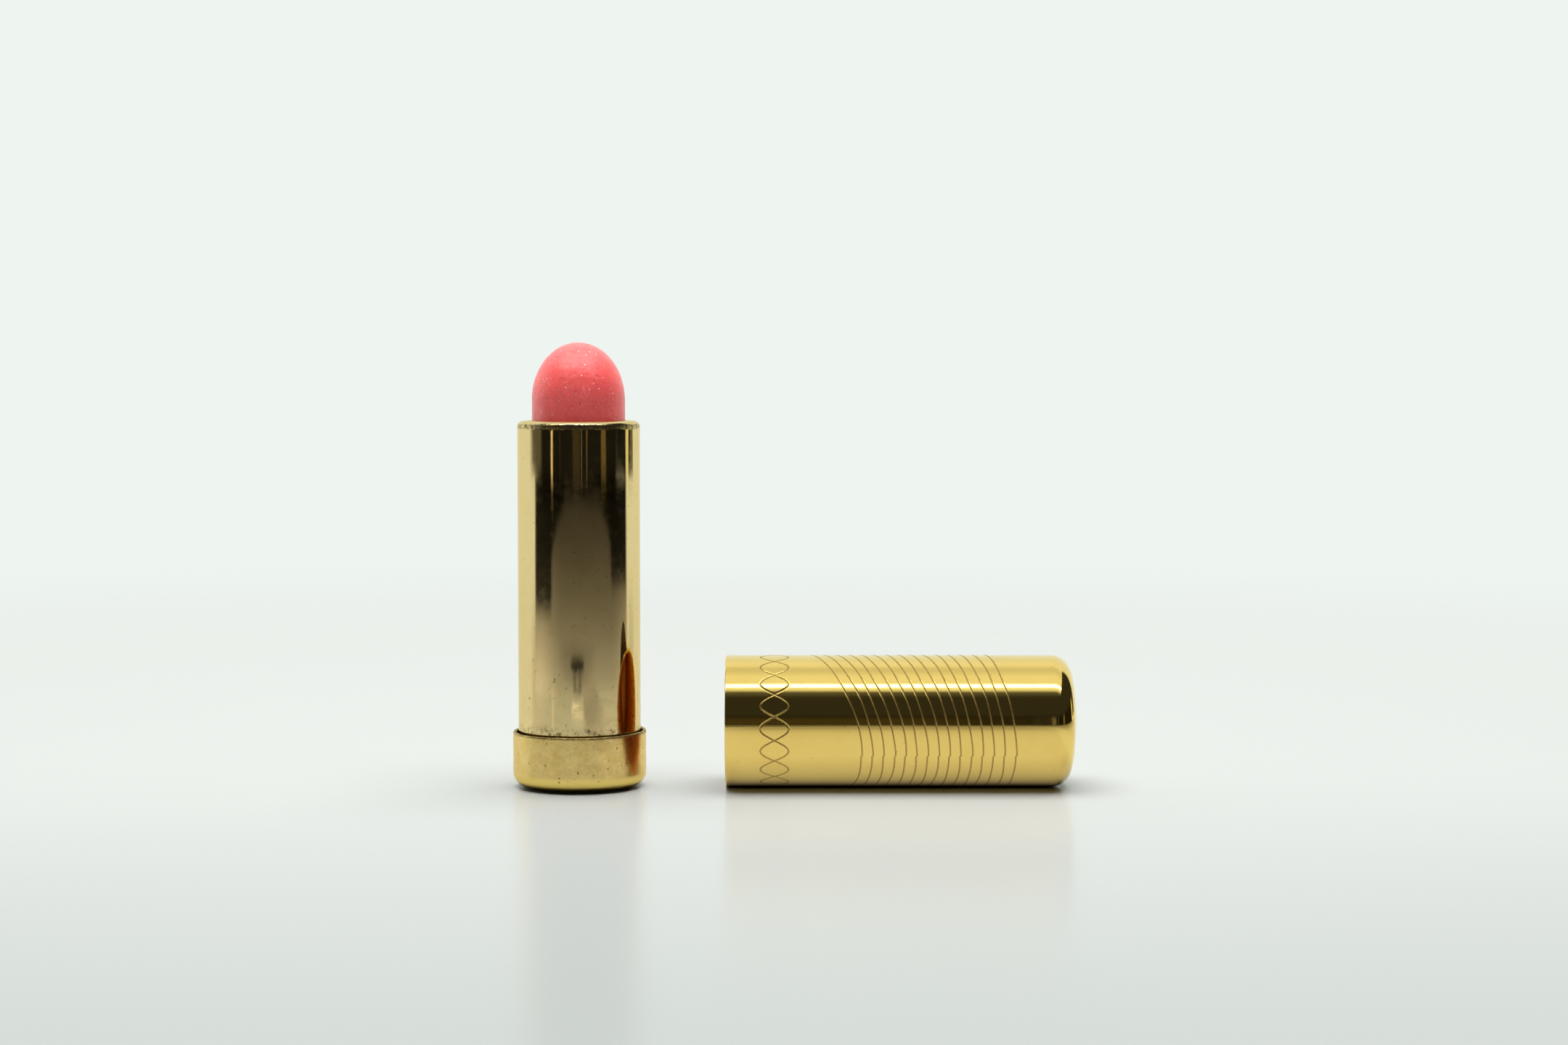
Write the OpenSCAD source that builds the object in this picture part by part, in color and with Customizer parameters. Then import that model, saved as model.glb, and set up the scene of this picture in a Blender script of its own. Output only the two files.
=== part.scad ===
// Twist-up lipstick case of drawn brass, with its cap beside it.
// The case stands on z = 0 with its axis on +Z. The lipstick is wound part of the way out.
// The cap lies on the same surface with its axis along +X and its open mouth towards the case.

/* [Lipstick] */
// Diameter of the lipstick
bullet_d = 12.8; // [11:0.1:16]
// Height of its elliptical tip
tip_h = 7.9; // [6:0.1:10]
// Height of the tip above the barrel's rim as drawn
tip_rise = 10.7; // [10:0.1:13]
// Depth of the tip below the rim when it is wound right down
tip_sink = 0.9; // [0.5:0.1:2]

/* [Barrel] */
// Height of the barrel's rim above the table
barrel_h = 50.4; // [42:0.1:64]
// Wall of the barrel and of the base cup
shell_t = 0.45; // [0.3:0.01:0.6]
// Straight length of the rim's inner leg, below its roll
rim_leg = 0.6; // [0.3:0.1:1]
// Step in the barrel's radius where it enters the base cup
barrel_step = 0.2; // [0.16:0.01:0.24]

/* [Base] */
// Height of the base cup's lip above the table
collar_h = 7.9; // [6:0.1:10]
// Outer radius of the base cup's bottom corner
base_corner_r = 2.0; // [1.2:0.1:2.6]
// Gap between the barrel and the base cup
collar_gap = 0.3; // [0.1:0.05:0.5]
// Thickness of the paper shade label under the base cup
label_t = 0.15; // [0.1:0.05:0.2]
// Height of the base plug inside the base cup
plug_h = 3.2; // [2.8:0.1:4]
// Height of the plug's neck, which carries the slotted tube
neck_h = 5.0; // [4:0.1:6]
// Thickness of the steel weight under the plug
weight_t = 1.95; // [1:0.05:2.2]

/* [Mechanism] */
// Height of the product cup
cup_h = 12.0; // [9:0.1:15]
// Wall of the product cup around the lipstick
cup_t = 0.22; // [0.18:0.01:0.4]
// Wall of the product cup's skirt, which holds the lug pins
skirt_t = 0.84; // [0.6:0.02:1.2]
// Free height under the product cup at its lowest
cup_well = 4.0; // [2:0.1:6]
// Diameter of the two lug pins
pin_d = 1.8; // [1.4:0.1:2.4]
// Height of the lug pins above the product cup's lower edge
pin_up = 2.0; // [1.6:0.1:3]
// Wall of the slotted tube
tube_t = 0.35; // [0.25:0.05:0.5]
// Wall of the cam sleeve
cam_t = 0.8; // [0.6:0.05:1.2]
// Turns of the barrel for the full travel
turns = 1.5; // [1.2:0.05:2]
// Thickness of the thrust washer
washer_t = 0.4; // [0.2:0.05:0.6]
// Thickness of the rubber friction ring's section
brake_d = 0.44; // [0.3:0.02:0.5]
// Thickness of the stop ring
stop_t = 0.5; // [0.3:0.05:0.8]

/* [Cap] */
// Length of the cap beyond the barrel's rim when it is on
cap_room = 5.7; // [4:0.1:9]
// Wall of the cap
cap_t = 0.35; // [0.25:0.05:0.5]
// Wall of the liner in the cap
liner_t = 0.23; // [0.15:0.01:0.4]
// Outer radius of the corner at the closed end
cap_corner_r = 2.85; // [1.5:0.05:3.5]
// Radius of the shallow dome on the closed end
dome_r = 32; // [20:1:60]
// Distance between the base cup's side and the cap's mouth
cap_distance = 11.0; // [6:0.5:30]

/* [Engraved rings] */
// Number of engraved rings
ring_count = 15; // [1:1:17]
// Distance from the mouth to the first ring's far crest
ring_from_mouth = 18.5; // [14:0.1:20]
// Distance from the closed end to the last ring's crest
ring_from_end = 8.9; // [6:0.1:12]
// Half the sway of the first ring along the cap
first_sway = 4.5; // [1:0.1:4.8]
// Half the sway of the last ring along the cap
last_sway = 2.5; // [1:0.1:4.8]
// Angle of the crests below the front of the lying cap
crest_angle = 28; // [0:1:360]
// Width of an engraved ring
ring_w = 0.22; // [0.1:0.02:0.4]
// Depth of an engraved ring
ring_depth = 0.06; // [0.02:0.01:0.1]

/* [Fits] */
// Radial gap between pieces that are pressed together
press_gap = 0.02; // [0.01:0.01:0.03]
// Radial gap between the product cup and the slotted tube
cup_gap = 0.08; // [0.04:0.01:0.15]
// Radial gap between the slotted tube and the cam sleeve
turn_gap = 0.06; // [0.03:0.01:0.1]
// Gap at each end of the cam sleeve, and round the friction ring
end_gap = 0.05; // [0.02:0.01:0.1]
// Gap on each side of a lug pin in its straight slot
slot_gap = 0.1; // [0.05:0.01:0.2]
// Gap on each side of a lug pin in its helical slot
helix_gap = 0.15; // [0.1:0.01:0.3]
// Radial gap between the barrel and the cap's liner
cap_gap = 0.05; // [0.02:0.01:0.1]

/* [Hidden] */
$fn = 96;
over = 1;  // how far a cutter runs past what it cuts

// Radii, from the lipstick outwards
bullet_r = bullet_d / 2;
cup_in_r = bullet_r + press_gap;
cup_r = cup_in_r + cup_t;
tube_in_r = cup_r + cup_gap;
tube_r = tube_in_r + tube_t;
cam_in_r = tube_r + turn_gap;
cam_r = cam_in_r + cam_t;
barrel_in_r = cam_r + press_gap;
barrel_r = barrel_in_r + shell_t;
collar_in_r = barrel_r + collar_gap;
collar_r = collar_in_r + shell_t;
liner_in_r = barrel_r + cap_gap;
liner_r = liner_in_r + liner_t;
cap_in_r = liner_r + press_gap;
cap_r = cap_in_r + cap_t;

// Heights in the base
floor_z = label_t + shell_t;
plug_z = floor_z + plug_h;
neck_z = plug_z + neck_h;
washer_z = plug_z + washer_t;
cam_z = washer_z + end_gap;
barrel_setback = 0.35;
barrel_z = cam_z + barrel_setback;
label_r = collar_r - base_corner_r - 0.5;
weight_r = label_r - 0.6;

// The rolled rim, and the pieces that end below it
mouth_r = tube_in_r;
rim_r = (barrel_r - mouth_r) / 2;
rim_z = barrel_h - rim_r;
rim_gap = 0.35;
tube_top = rim_z - rim_leg - rim_gap;
stop_land = 0.95;
stop_z = tube_top - stop_land - stop_t;
stop_bite = 0.15;
stop_proud = 0.55;
stop_mouth_angle = 40;
cam_top = stop_z - end_gap;

// The friction ring and the recess over it
brake_r = brake_d / 2;
brake_path_r = tube_r + press_gap + brake_r;
recess_r = brake_path_r + brake_r + end_gap;
recess_z = washer_z + brake_d + 2 * end_gap;

// Travel: the product cup's top comes level with the rim at the end of its rise
cup_low_z = neck_z + cup_well;
travel = barrel_h - cup_h - cup_low_z;
wound_out = tip_rise + tip_sink;
cup_z = cup_low_z + wound_out;
tip_z = barrel_h + tip_rise;
lead = travel / turns;

// Lug pins and their slots
pin_r = pin_d / 2;
pin_z = cup_z + pin_up;
pin_low_z = cup_low_z + pin_up;
pin_reach = barrel_in_r - 0.2;
skirt_in_r = cup_r - skirt_t;
cup_floor_t = 0.6;
cup_floor_z = cup_z + pin_up + pin_r + 1;
slot_end_gap = 0.3;
helix_slope = atan(lead / (2 * PI * cam_in_r));
helix_half_h = (pin_r + helix_gap) / cos(helix_slope);
helix_step = 9;

// The cap, in its own frame: mouth at z = 0, closed end up
cap_l = barrel_h - collar_h + cap_room;
cap_x = collar_r + cap_distance;
liner_setback = 0.8;
corner_path_r = cap_r - cap_corner_r;
dome_z = cap_l - dome_r;
corner_z = dome_z + sqrt(pow(dome_r - cap_corner_r, 2) - pow(corner_path_r, 2));
ring_pitch = (cap_l - ring_from_end - ring_from_mouth) / max(1, ring_count - 1);

// A tube between two heights
module tube(inner_r, outer_r, z0, z1) {
    translate([0, 0, z0])
        difference() {
            cylinder(r = outer_r, h = z1 - z0);
            translate([0, 0, -over]) cylinder(r = inner_r, h = z1 - z0 + 2 * over);
        }
}

// Half section of a solid with a round bottom corner
module round_bottomed(r, z0, z1, corner_r) {
    translate([0, z0 + corner_r]) square([r, z1 - z0 - corner_r]);
    translate([0, z0]) square([r - corner_r, z1 - z0]);
    translate([r - corner_r, z0 + corner_r]) circle(corner_r);
}

module shade_label() {
    color("ivory") cylinder(r = label_r, h = label_t);
}

// Drawn cup with a full round on its lip
module base_cup() {
    lip_z = collar_h - shell_t / 2;
    color("goldenrod")
        rotate_extrude() {
            difference() {
                round_bottomed(collar_r, label_t, lip_z, base_corner_r);
                round_bottomed(collar_in_r, floor_z, lip_z + over, base_corner_r - shell_t);
            }
            translate([collar_r - shell_t / 2, lip_z]) circle(shell_t / 2);
        }
}

module base_weight() {
    color("slategray") translate([0, 0, floor_z]) cylinder(r = weight_r, h = weight_t);
}

// Plug pressed into the base cup, hollow below for the weight
module base_plug() {
    plug_r = collar_in_r - press_gap;
    neck_r = tube_in_r - press_gap;
    chamfer = base_corner_r - shell_t;
    pocket_r = weight_r + press_gap;
    pocket_z = floor_z + weight_t + end_gap;
    color("whitesmoke")
        rotate_extrude()
            polygon([
                [0, pocket_z], [pocket_r, pocket_z], [pocket_r, floor_z],
                [plug_r - chamfer, floor_z], [plug_r, floor_z + chamfer], [plug_r, plug_z],
                [neck_r, plug_z], [neck_r, neck_z], [0, neck_z]
            ]);
}

// Fixed inner tube: its two straight slots stop the product cup from turning
module slotted_tube() {
    slot_w = pin_d + 2 * slot_gap;
    slot_z = pin_low_z - pin_r - slot_end_gap;
    slot_h = travel + pin_d + 2 * slot_end_gap;
    color("silver")
        difference() {
            tube(tube_in_r, tube_r, plug_z, tube_top);
            tube(tube_r - stop_bite, tube_r + over, stop_z - press_gap, stop_z + stop_t + press_gap);
            translate([-tube_r - over, -slot_w / 2, slot_z]) cube([2 * (tube_r + over), slot_w, slot_h]);
        }
}

module thrust_washer() {
    color("white") tube(tube_r + press_gap, cam_r + press_gap, plug_z, washer_z);
}

// Rubber ring that gives the barrel its stiff, smooth turn
module friction_ring() {
    color("dimgray")
        translate([0, 0, washer_z + brake_r])
            rotate_extrude() translate([brake_path_r, 0]) circle(brake_r);
}

// Open ring, snapped into the tube's groove, that keeps the barrel on
module stop_ring() {
    color("silver")
        translate([0, 0, stop_z])
            rotate([0, 0, stop_mouth_angle / 2])
                rotate_extrude(angle = 360 - stop_mouth_angle)
                    translate([tube_r - stop_bite + press_gap, 0])
                        square([stop_bite - press_gap + stop_proud, stop_t]);
}

// Cutter for one helical slot, a right-handed sweep of an upright oblong
module helical_cutter(start_angle) {
    end_angle = asin((pin_r + slot_end_gap) / cam_in_r);
    first_angle = 360 * (pin_low_z - pin_z) / lead - end_angle;
    last_angle = first_angle + 360 * turns + 2 * end_angle;
    count = ceil((last_angle - first_angle) / helix_step);
    step = (last_angle - first_angle) / count;
    near_r = cam_in_r - 0.5;
    far_r = (cam_r + 0.3) / cos(step / 2);
    corners = [[near_r, -1], [far_r, -1], [far_r, 1], [near_r, 1]];
    points = [
        for (i = [0 : count], corner = corners)
            let (angle = first_angle + i * step)
                [
                    corner[0] * cos(angle + start_angle),
                    corner[0] * sin(angle + start_angle),
                    pin_z + lead * angle / 360 + corner[1] * helix_half_h
                ]
    ];
    sides = [
        for (i = [0 : count - 1], k = [0 : 3])
            let (a = 4 * i + k, b = 4 * i + (k + 1) % 4)
                each [[a, b, a + 4], [b, b + 4, a + 4]]
    ];
    last = 4 * count;
    ends = [[2, 1, 0], [3, 2, 0], [last, last + 1, last + 2], [last, last + 2, last + 3]];
    polyhedron(points = points, faces = concat(sides, ends));
}

// Sleeve that turns with the barrel: its helical slots drive the lug pins up and down
module cam_sleeve() {
    color("darkgoldenrod")
        difference() {
            tube(cam_in_r, cam_r, cam_z, cam_top);
            translate([0, 0, cam_z - over]) cylinder(r = recess_r, h = recess_z - cam_z + over);
            helical_cutter(0);
            helical_cutter(180);
        }
}

// Drawn barrel whose top edge is rolled inwards to a full half round
module barrel_shell() {
    color("goldenrod")
        rotate_extrude() {
            translate([barrel_in_r, barrel_z]) square([shell_t - barrel_step, collar_h - barrel_z]);
            translate([barrel_in_r, collar_h]) square([shell_t, rim_z - collar_h]);
            translate([mouth_r, rim_z - rim_leg]) square([shell_t, rim_leg]);
            translate([mouth_r + rim_r, rim_z])
                difference() {
                    circle(rim_r);
                    circle(rim_r - shell_t);
                    translate([-rim_r - over, -rim_r - over]) square([2 * (rim_r + over), rim_r + over]);
                }
        }
}

// Cup that carries the lipstick, open below its floor
module product_cup() {
    color("gold")
        difference() {
            translate([0, 0, cup_z]) cylinder(r = cup_r, h = cup_h);
            translate([0, 0, cup_floor_z]) cylinder(r = cup_in_r, h = cup_h);
            translate([0, 0, cup_z - over])
                cylinder(r = skirt_in_r, h = cup_floor_z - cup_floor_t - cup_z + over);
            translate([-cup_r - over, 0, pin_z])
                rotate([0, 90, 0]) cylinder(r = pin_r + press_gap, h = 2 * (cup_r + over));
        }
}

// Lug pin through the cup's skirt and the straight slot into the helical slot
module cup_pin() {
    translate([skirt_in_r, 0, pin_z]) rotate([0, 90, 0]) cylinder(r = pin_r, h = pin_reach - skirt_in_r);
}

module cup_pin_left() {
    color("silver") rotate([0, 0, 180]) cup_pin();
}

module cup_pin_right() {
    color("silver") cup_pin();
}

module lipstick() {
    tip_base_z = tip_z - tip_h;
    tip_curve = [for (a = [0 : 5 : 85]) [bullet_r * cos(a), tip_base_z + tip_h * sin(a)]];
    color("indianred")
        rotate_extrude()
            polygon(concat([[0, cup_floor_z], [bullet_r, cup_floor_z]], tip_curve, [[0, tip_z]]));
}

// Half section of the solid cap, drawn in by an inset all round
module cap_outline(inset) {
    reach = (dome_r + over) / (dome_r - cap_corner_r);
    square([cap_r - inset, corner_z]);
    translate([corner_path_r, corner_z]) circle(cap_corner_r - inset);
    intersection() {
        translate([0, dome_z]) circle(dome_r - inset, $fn = 720);
        polygon([
            [0, dome_z], [corner_path_r * reach, dome_z + (corner_z - dome_z) * reach],
            [0, dome_z + dome_r + over]
        ]);
    }
}

// One engraved ring: a thin slanted slice through the cap
module ring_slice(i) {
    sway = first_sway + (last_sway - first_sway) * i / max(1, ring_count - 1);
    crest_z = ring_from_mouth + i * ring_pitch;
    translate([0, 0, crest_z - sway])
        rotate([0, 0, crest_angle - 90])
            rotate([0, -atan(sway / cap_r), 0])
                cylinder(r = 2 * cap_r, h = ring_w, center = true);
}

// Puts a piece drawn upright on its mouth into the lying cap's place
module lay_cap() {
    translate([cap_x, 0, cap_r]) rotate([0, 90, 0]) children();
}

module cap_shell() {
    color("gold")
        lay_cap()
            difference() {
                rotate_extrude()
                    difference() {
                        cap_outline(0);
                        translate([0, -over]) square([cap_in_r, 2 * over]);
                        cap_outline(cap_t);
                    }
                difference() {
                    for (i = [0 : ring_count - 1]) ring_slice(i);
                    cylinder(r = cap_r - ring_depth, h = cap_l);
                }
            }
}

// Lacquered liner that grips the barrel
module cap_liner() {
    outer_inset = cap_t + press_gap;
    color("chocolate")
        lay_cap()
            rotate_extrude()
                difference() {
                    cap_outline(outer_inset);
                    cap_outline(outer_inset + liner_t);
                    square([cap_r, liner_setback]);
                }
}

shade_label();
base_cup();
base_weight();
base_plug();
slotted_tube();
thrust_washer();
friction_ring();
stop_ring();
cam_sleeve();
barrel_shell();
product_cup();
cup_pin_left();
cup_pin_right();
lipstick();
cap_shell();
cap_liner();
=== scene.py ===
"""Looks of the twist-up lipstick case: skins, materials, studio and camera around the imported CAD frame."""

import math

import bmesh
import bpy
import numpy as np
from mathutils import Matrix, Vector, noise


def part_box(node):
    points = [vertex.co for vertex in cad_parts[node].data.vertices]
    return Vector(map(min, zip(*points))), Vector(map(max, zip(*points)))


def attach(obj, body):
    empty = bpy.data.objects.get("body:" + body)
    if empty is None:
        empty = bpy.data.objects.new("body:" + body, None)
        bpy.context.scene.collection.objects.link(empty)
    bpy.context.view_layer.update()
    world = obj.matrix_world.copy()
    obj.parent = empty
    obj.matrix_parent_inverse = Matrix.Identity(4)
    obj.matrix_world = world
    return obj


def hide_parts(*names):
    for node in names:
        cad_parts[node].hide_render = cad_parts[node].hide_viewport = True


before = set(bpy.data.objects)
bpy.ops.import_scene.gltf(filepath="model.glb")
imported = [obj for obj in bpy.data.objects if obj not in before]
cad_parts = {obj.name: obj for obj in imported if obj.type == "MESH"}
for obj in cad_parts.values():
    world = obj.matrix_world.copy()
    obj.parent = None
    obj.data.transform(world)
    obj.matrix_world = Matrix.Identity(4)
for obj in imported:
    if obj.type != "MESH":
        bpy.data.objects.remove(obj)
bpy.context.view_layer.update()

MM = 0.001

# ---------------------------------------------------------------- sizes, in millimetres


def box_mm(node):
    """The low and high corners of a CAD node's box."""
    low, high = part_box(node)
    return low / MM, high / MM


CUP_LOW, CUP_HIGH = box_mm("base_cup")
BARREL_LOW, BARREL_HIGH = box_mm("barrel_shell")
STICK_LOW, STICK_HIGH = box_mm("lipstick")
CAP_LOW, CAP_HIGH = box_mm("cap_shell")
LINER_LOW, LINER_HIGH = box_mm("cap_liner")

SHELL_T = 0.45  # wall of the barrel and the base cup
CUP_R = CUP_HIGH.x
CUP_CORNER_R = 2.0
BARREL_R = BARREL_HIGH.x
BARREL_STEP = 0.2  # in radius, where the barrel enters the base cup
BARREL_STEP_DROP = 0.15  # below the cup's lip
RIM_R = 0.84  # roll on the barrel's top edge
RIM_LEG = 0.6
STICK_R = STICK_HIGH.x
TIP_H = 7.9
CAP_T = 0.35
CAP_R = CAP_HIGH.y
CAP_L = CAP_HIGH.x - CAP_LOW.x
CAP_CORNER_R = 2.85
DOME_R = 32.0
BORE_STRAIGHT = 20.0  # from the cap's mouth to the first row of the bore's closed end
MOUTH_BEVEL = 0.05
MOUTH_ROUND = ((0.08, 0.0), (0.02, 0.03), (0.0, 0.10), (0.0, 0.2))  # outer edge, as (inset, height)
LINER_T = 0.23
LINER_STRAIGHT = 30.0  # the same for the liner
LINER_BEVEL = 0.04
LINER_SETBACK = LINER_LOW.x - CAP_LOW.x
LINER_INSET = CAP_R - LINER_HIGH.y

CAP_COLUMNS = 900
RING_COUNT = 15
FIRST_CREST = 18.5  # the first ring's farthest point from the cap's mouth
LAST_CREST = CAP_L - 8.9
FIRST_SWAY = 4.5  # half of how far its nearest point lies from its farthest
LAST_SWAY = 2.5
CREST_TURN = math.radians(-62)  # of the farthest points round the cap, in its own upright frame
RING_JOIN_TURN = math.radians(-65)
RING_JOIN_STEP = 0.16  # between a ring's two ends, where it doesn't quite close
RING_W = 0.22
RING_DEPTH = 0.06

WAVE_COUNT = 9  # two interlaced waves engraved round the mouth
WAVE_MIDDLE = 6.7
WAVE_HALF_H = 1.9
WAVE_MARGIN = 0.3
WAVE_W = 0.20
WAVE_ROW_H = 0.07

# ---------------------------------------------------------------- camera

CAMERA_PLACE = Vector((28.15, -385.0, 57.0)) * MM
CAMERA_PITCH = math.radians(3.065)
CAMERA_LENS = 64.48  # on the standard 36 mm sensor


def make_camera():
    """A little lower than the lipstick's tip, looking slightly down."""
    data = bpy.data.cameras.new("camera")
    data.sensor_width = 36.0
    data.lens = CAMERA_LENS
    data.clip_start, data.clip_end = 0.01, 20.0
    camera = bpy.data.objects.new("camera", data)
    camera.location = CAMERA_PLACE
    camera.rotation_euler = (math.radians(90) - CAMERA_PITCH, 0.0, 0.0)
    bpy.context.scene.collection.objects.link(camera)
    bpy.context.scene.camera = camera


# ---------------------------------------------------------------- mesh helpers


def arc(centre_r, centre_z, radius, start, end, steps):
    """Points on an arc of a half section, from one angle to another in degrees."""
    angles = np.radians(np.linspace(start, end, steps + 1))
    return [(centre_r + radius * math.cos(a), centre_z + radius * math.sin(a)) for a in angles]


def line(r0, z0, r1, z1, steps):
    """Points between the two ends of a straight stretch, without the ends."""
    shares = [k / steps for k in range(1, steps)]
    return [(r0 + (r1 - r0) * t, z0 + (z1 - z0) * t) for t in shares]


def revolve(name, rows, columns, closed=False):
    """A mesh turned about Z from rows of (radius, height), each a number or one value a column.
    A first or last row of radius 0 is a pole. closed joins the last row to the first."""
    angles = np.arange(columns) * 2 * math.pi / columns
    points, starts, poles = [], [], []
    count = 0
    for radius, height in rows:
        pole = np.ndim(radius) == 0 and radius == 0
        r = np.broadcast_to(radius, columns)
        z = np.broadcast_to(height, columns)
        ring = np.column_stack([r * np.cos(angles), r * np.sin(angles), z])
        points.append(ring[:1] if pole else ring)
        poles.append(pole)
        starts.append(count)
        count += len(points[-1])
    faces = []
    pairs = list(zip(range(len(rows) - 1), range(1, len(rows))))
    if closed:
        pairs.append((len(rows) - 1, 0))
    for a, b in pairs:
        for k in range(columns):
            n = (k + 1) % columns
            if poles[a]:
                faces.append((starts[a], starts[b] + n, starts[b] + k))
            elif poles[b]:
                faces.append((starts[a] + k, starts[a] + n, starts[b]))
            else:
                faces.append((starts[a] + k, starts[a] + n, starts[b] + n, starts[b] + k))
    mesh = bpy.data.meshes.new(name)
    mesh.from_pydata(np.vstack(points).tolist(), [], faces)
    work = bmesh.new()
    work.from_mesh(mesh)
    bmesh.ops.recalc_face_normals(work, faces=work.faces)
    work.to_mesh(mesh)
    work.free()
    mesh.shade_smooth()
    piece = bpy.data.objects.new(name, mesh)
    bpy.context.scene.collection.objects.link(piece)
    return piece


def settle(piece, matrix=None):
    """Turns a piece's mesh from millimetres to metres, after an optional move."""
    piece.data.transform(Matrix.Scale(MM, 4) @ (matrix or Matrix.Identity(4)))
    piece.data.update()


def dress(piece, body, node, material):
    """Puts a piece in the place of a CAD node."""
    piece.data.materials.append(material)
    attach(piece, body)
    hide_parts(node)


def reshape(piece, move):
    """Moves every vertex to where move(x, y, z) says, in millimetres."""
    mesh = piece.data
    points = np.empty(len(mesh.vertices) * 3, np.float32)
    mesh.vertices.foreach_get("co", points)
    moved = [move(*p) for p in points.reshape(-1, 3).tolist()]
    mesh.vertices.foreach_set("co", np.array(moved, np.float32).ravel())
    mesh.update()


# ---------------------------------------------------------------- materials


def rgba(red, green, blue):
    """An opaque colour."""
    return (red, green, blue, 1.0)


class Graph:
    """A Principled material with short calls for adding nodes. Coordinates are millimetres."""

    def __init__(self, name, **sockets):
        self.material = bpy.data.materials.new(name)
        self.material.use_nodes = True
        self.tree = self.material.node_tree
        self.surface = self.tree.nodes["Principled BSDF"]
        for key, value in sockets.items():
            self.surface.inputs[key].default_value = value
        source = self.put("ShaderNodeTexCoord").outputs["Object"]
        self.place = self.stretch((1 / MM, 1 / MM, 1 / MM), source)

    def put(self, kind, inputs=None, **settings):
        """Adds a node with these inputs, each a socket or a value."""
        node = self.tree.nodes.new(kind)
        for key, value in settings.items():
            setattr(node, key, value)
        for key, value in (inputs or {}).items():
            self.plug(node, key, value)
        return node

    def plug(self, node, key, value):
        """Links a socket, or sets a number."""
        if isinstance(value, bpy.types.NodeSocket):
            self.tree.links.new(value, node.inputs[key])
        else:
            node.inputs[key].default_value = value

    def stretch(self, factors, source=None, turn=(0, 0, 0)):
        """The coordinates, turned and then multiplied by three factors."""
        if turn != (0, 0, 0):
            turned = {"Vector": source or self.place, "Rotation": turn}
            source = self.put("ShaderNodeMapping", turned).outputs[0]
        return self.put("ShaderNodeMapping", {"Vector": source or self.place, "Scale": factors}).outputs[0]

    def noise(self, scale, detail=3.0, rough=0.5, vector=None):
        """Noise from 0 to 1, with this many cells a millimetre."""
        values = {"Vector": vector or self.place, "Scale": scale, "Detail": detail, "Roughness": rough}
        return self.put("ShaderNodeTexNoise", values).outputs["Fac"]

    def cells(self, scale, vector=None):
        """Distance to the nearest scattered point, in cell sizes."""
        values = {"Vector": vector or self.place, "Scale": scale}
        return self.put("ShaderNodeTexVoronoi", values).outputs["Distance"]

    def axis(self, letter):
        """One coordinate."""
        return self.put("ShaderNodeSeparateXYZ", {"Vector": self.place}).outputs[letter]

    def distance(self):
        """How far a point is from the origin, which is under the case."""
        return self.put("ShaderNodeVectorMath", {0: self.place}, operation="LENGTH").outputs["Value"]

    def heading(self):
        """Degrees round the case from straight in front of it, counted to the right."""
        turn = self.math("ARCTAN2", self.axis("X"), self.math("MULTIPLY", self.axis("Y"), -1.0))
        return self.math("MULTIPLY", turn, 180 / math.pi)

    def ramp(self, value, low, high, out_low=0.0, out_high=1.0):
        """A smooth step: out_low below low, out_high above high."""
        values = {"Value": value, "From Min": low, "From Max": high, "To Min": out_low, "To Max": out_high}
        return self.put("ShaderNodeMapRange", values, interpolation_type="SMOOTHSTEP").outputs["Result"]

    def band(self, value, low, low_full, high_full, high):
        """1 between the two middle values, with smooth steps to 0 outside them."""
        return self.times(self.ramp(value, low, low_full), self.ramp(value, high_full, high, 1.0, 0.0))

    def math(self, operation, a, b=0.0):
        """One step of arithmetic."""
        return self.put("ShaderNodeMath", {0: a, 1: b}, operation=operation).outputs["Value"]

    def apart(self, a, b):
        """How far two values are apart."""
        return self.math("ABSOLUTE", self.math("SUBTRACT", a, b))

    def dim(self, glow, mask, share):
        """Lowers glow to a share of itself where mask is 1."""
        return self.times(glow, self.ramp(mask, 0.0, 1.0, 1.0, share))

    def times(self, *values):
        """The product."""
        product = values[0]
        for value in values[1:]:
            product = self.math("MULTIPLY", product, value)
        return product

    def most(self, *values):
        """The largest."""
        top = values[0]
        for value in values[1:]:
            top = self.math("MAXIMUM", top, value)
        return top

    def mix(self, factor, a, b):
        """A colour between a and b."""
        node = self.put("ShaderNodeMix", data_type="RGBA")
        self.plug(node, 0, factor)
        self.plug(node, 6, a)
        self.plug(node, 7, b)
        return node.outputs[2]

    def bump(self, height, strength, distance_mm):
        """Adds relief on top of the bumps that are there."""
        values = {"Height": height, "Strength": strength, "Distance": distance_mm * MM}
        before = self.surface.inputs["Normal"].links
        if before:
            values["Normal"] = before[0].from_socket
        self.set("Normal", self.put("ShaderNodeBump", values).outputs["Normal"])

    def set(self, socket, value):
        """Links an input of the surface."""
        self.tree.links.new(value, self.surface.inputs[socket])

    def spots(self, scale, inner, outer, patches, detail=1.0):
        """Scattered dots, 1 within inner and 0 past outer in cell sizes. patches is the noise that they
        keep to: its scale, where it starts and where it is full."""
        dots = self.ramp(self.cells(scale), inner, outer, 1.0, 0.0)
        patch_scale, start, full = patches
        return self.times(dots, self.ramp(self.noise(patch_scale, detail), start, full))

    def scratches(self, scale, turn, rarity, slimness):
        """Thin short lines: scattered points drawn out along one turned direction, the more so the lower
        slimness is. They keep to patches, fewer with more rarity."""
        lines = self.cells(scale, self.stretch((1.0, 1.0, slimness), turn=turn))
        thin = self.ramp(lines, 0.03, 0.07, 1.0, 0.0)
        return self.times(thin, self.ramp(self.noise(0.3 * scale, 1.0), rarity, rarity + 0.05))


DARK_STAIN = rgba(0.085, 0.062, 0.028)
PALE_EDGE = rgba(0.95, 0.88, 0.70)  # the case's brass, seen at a grazing angle


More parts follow.
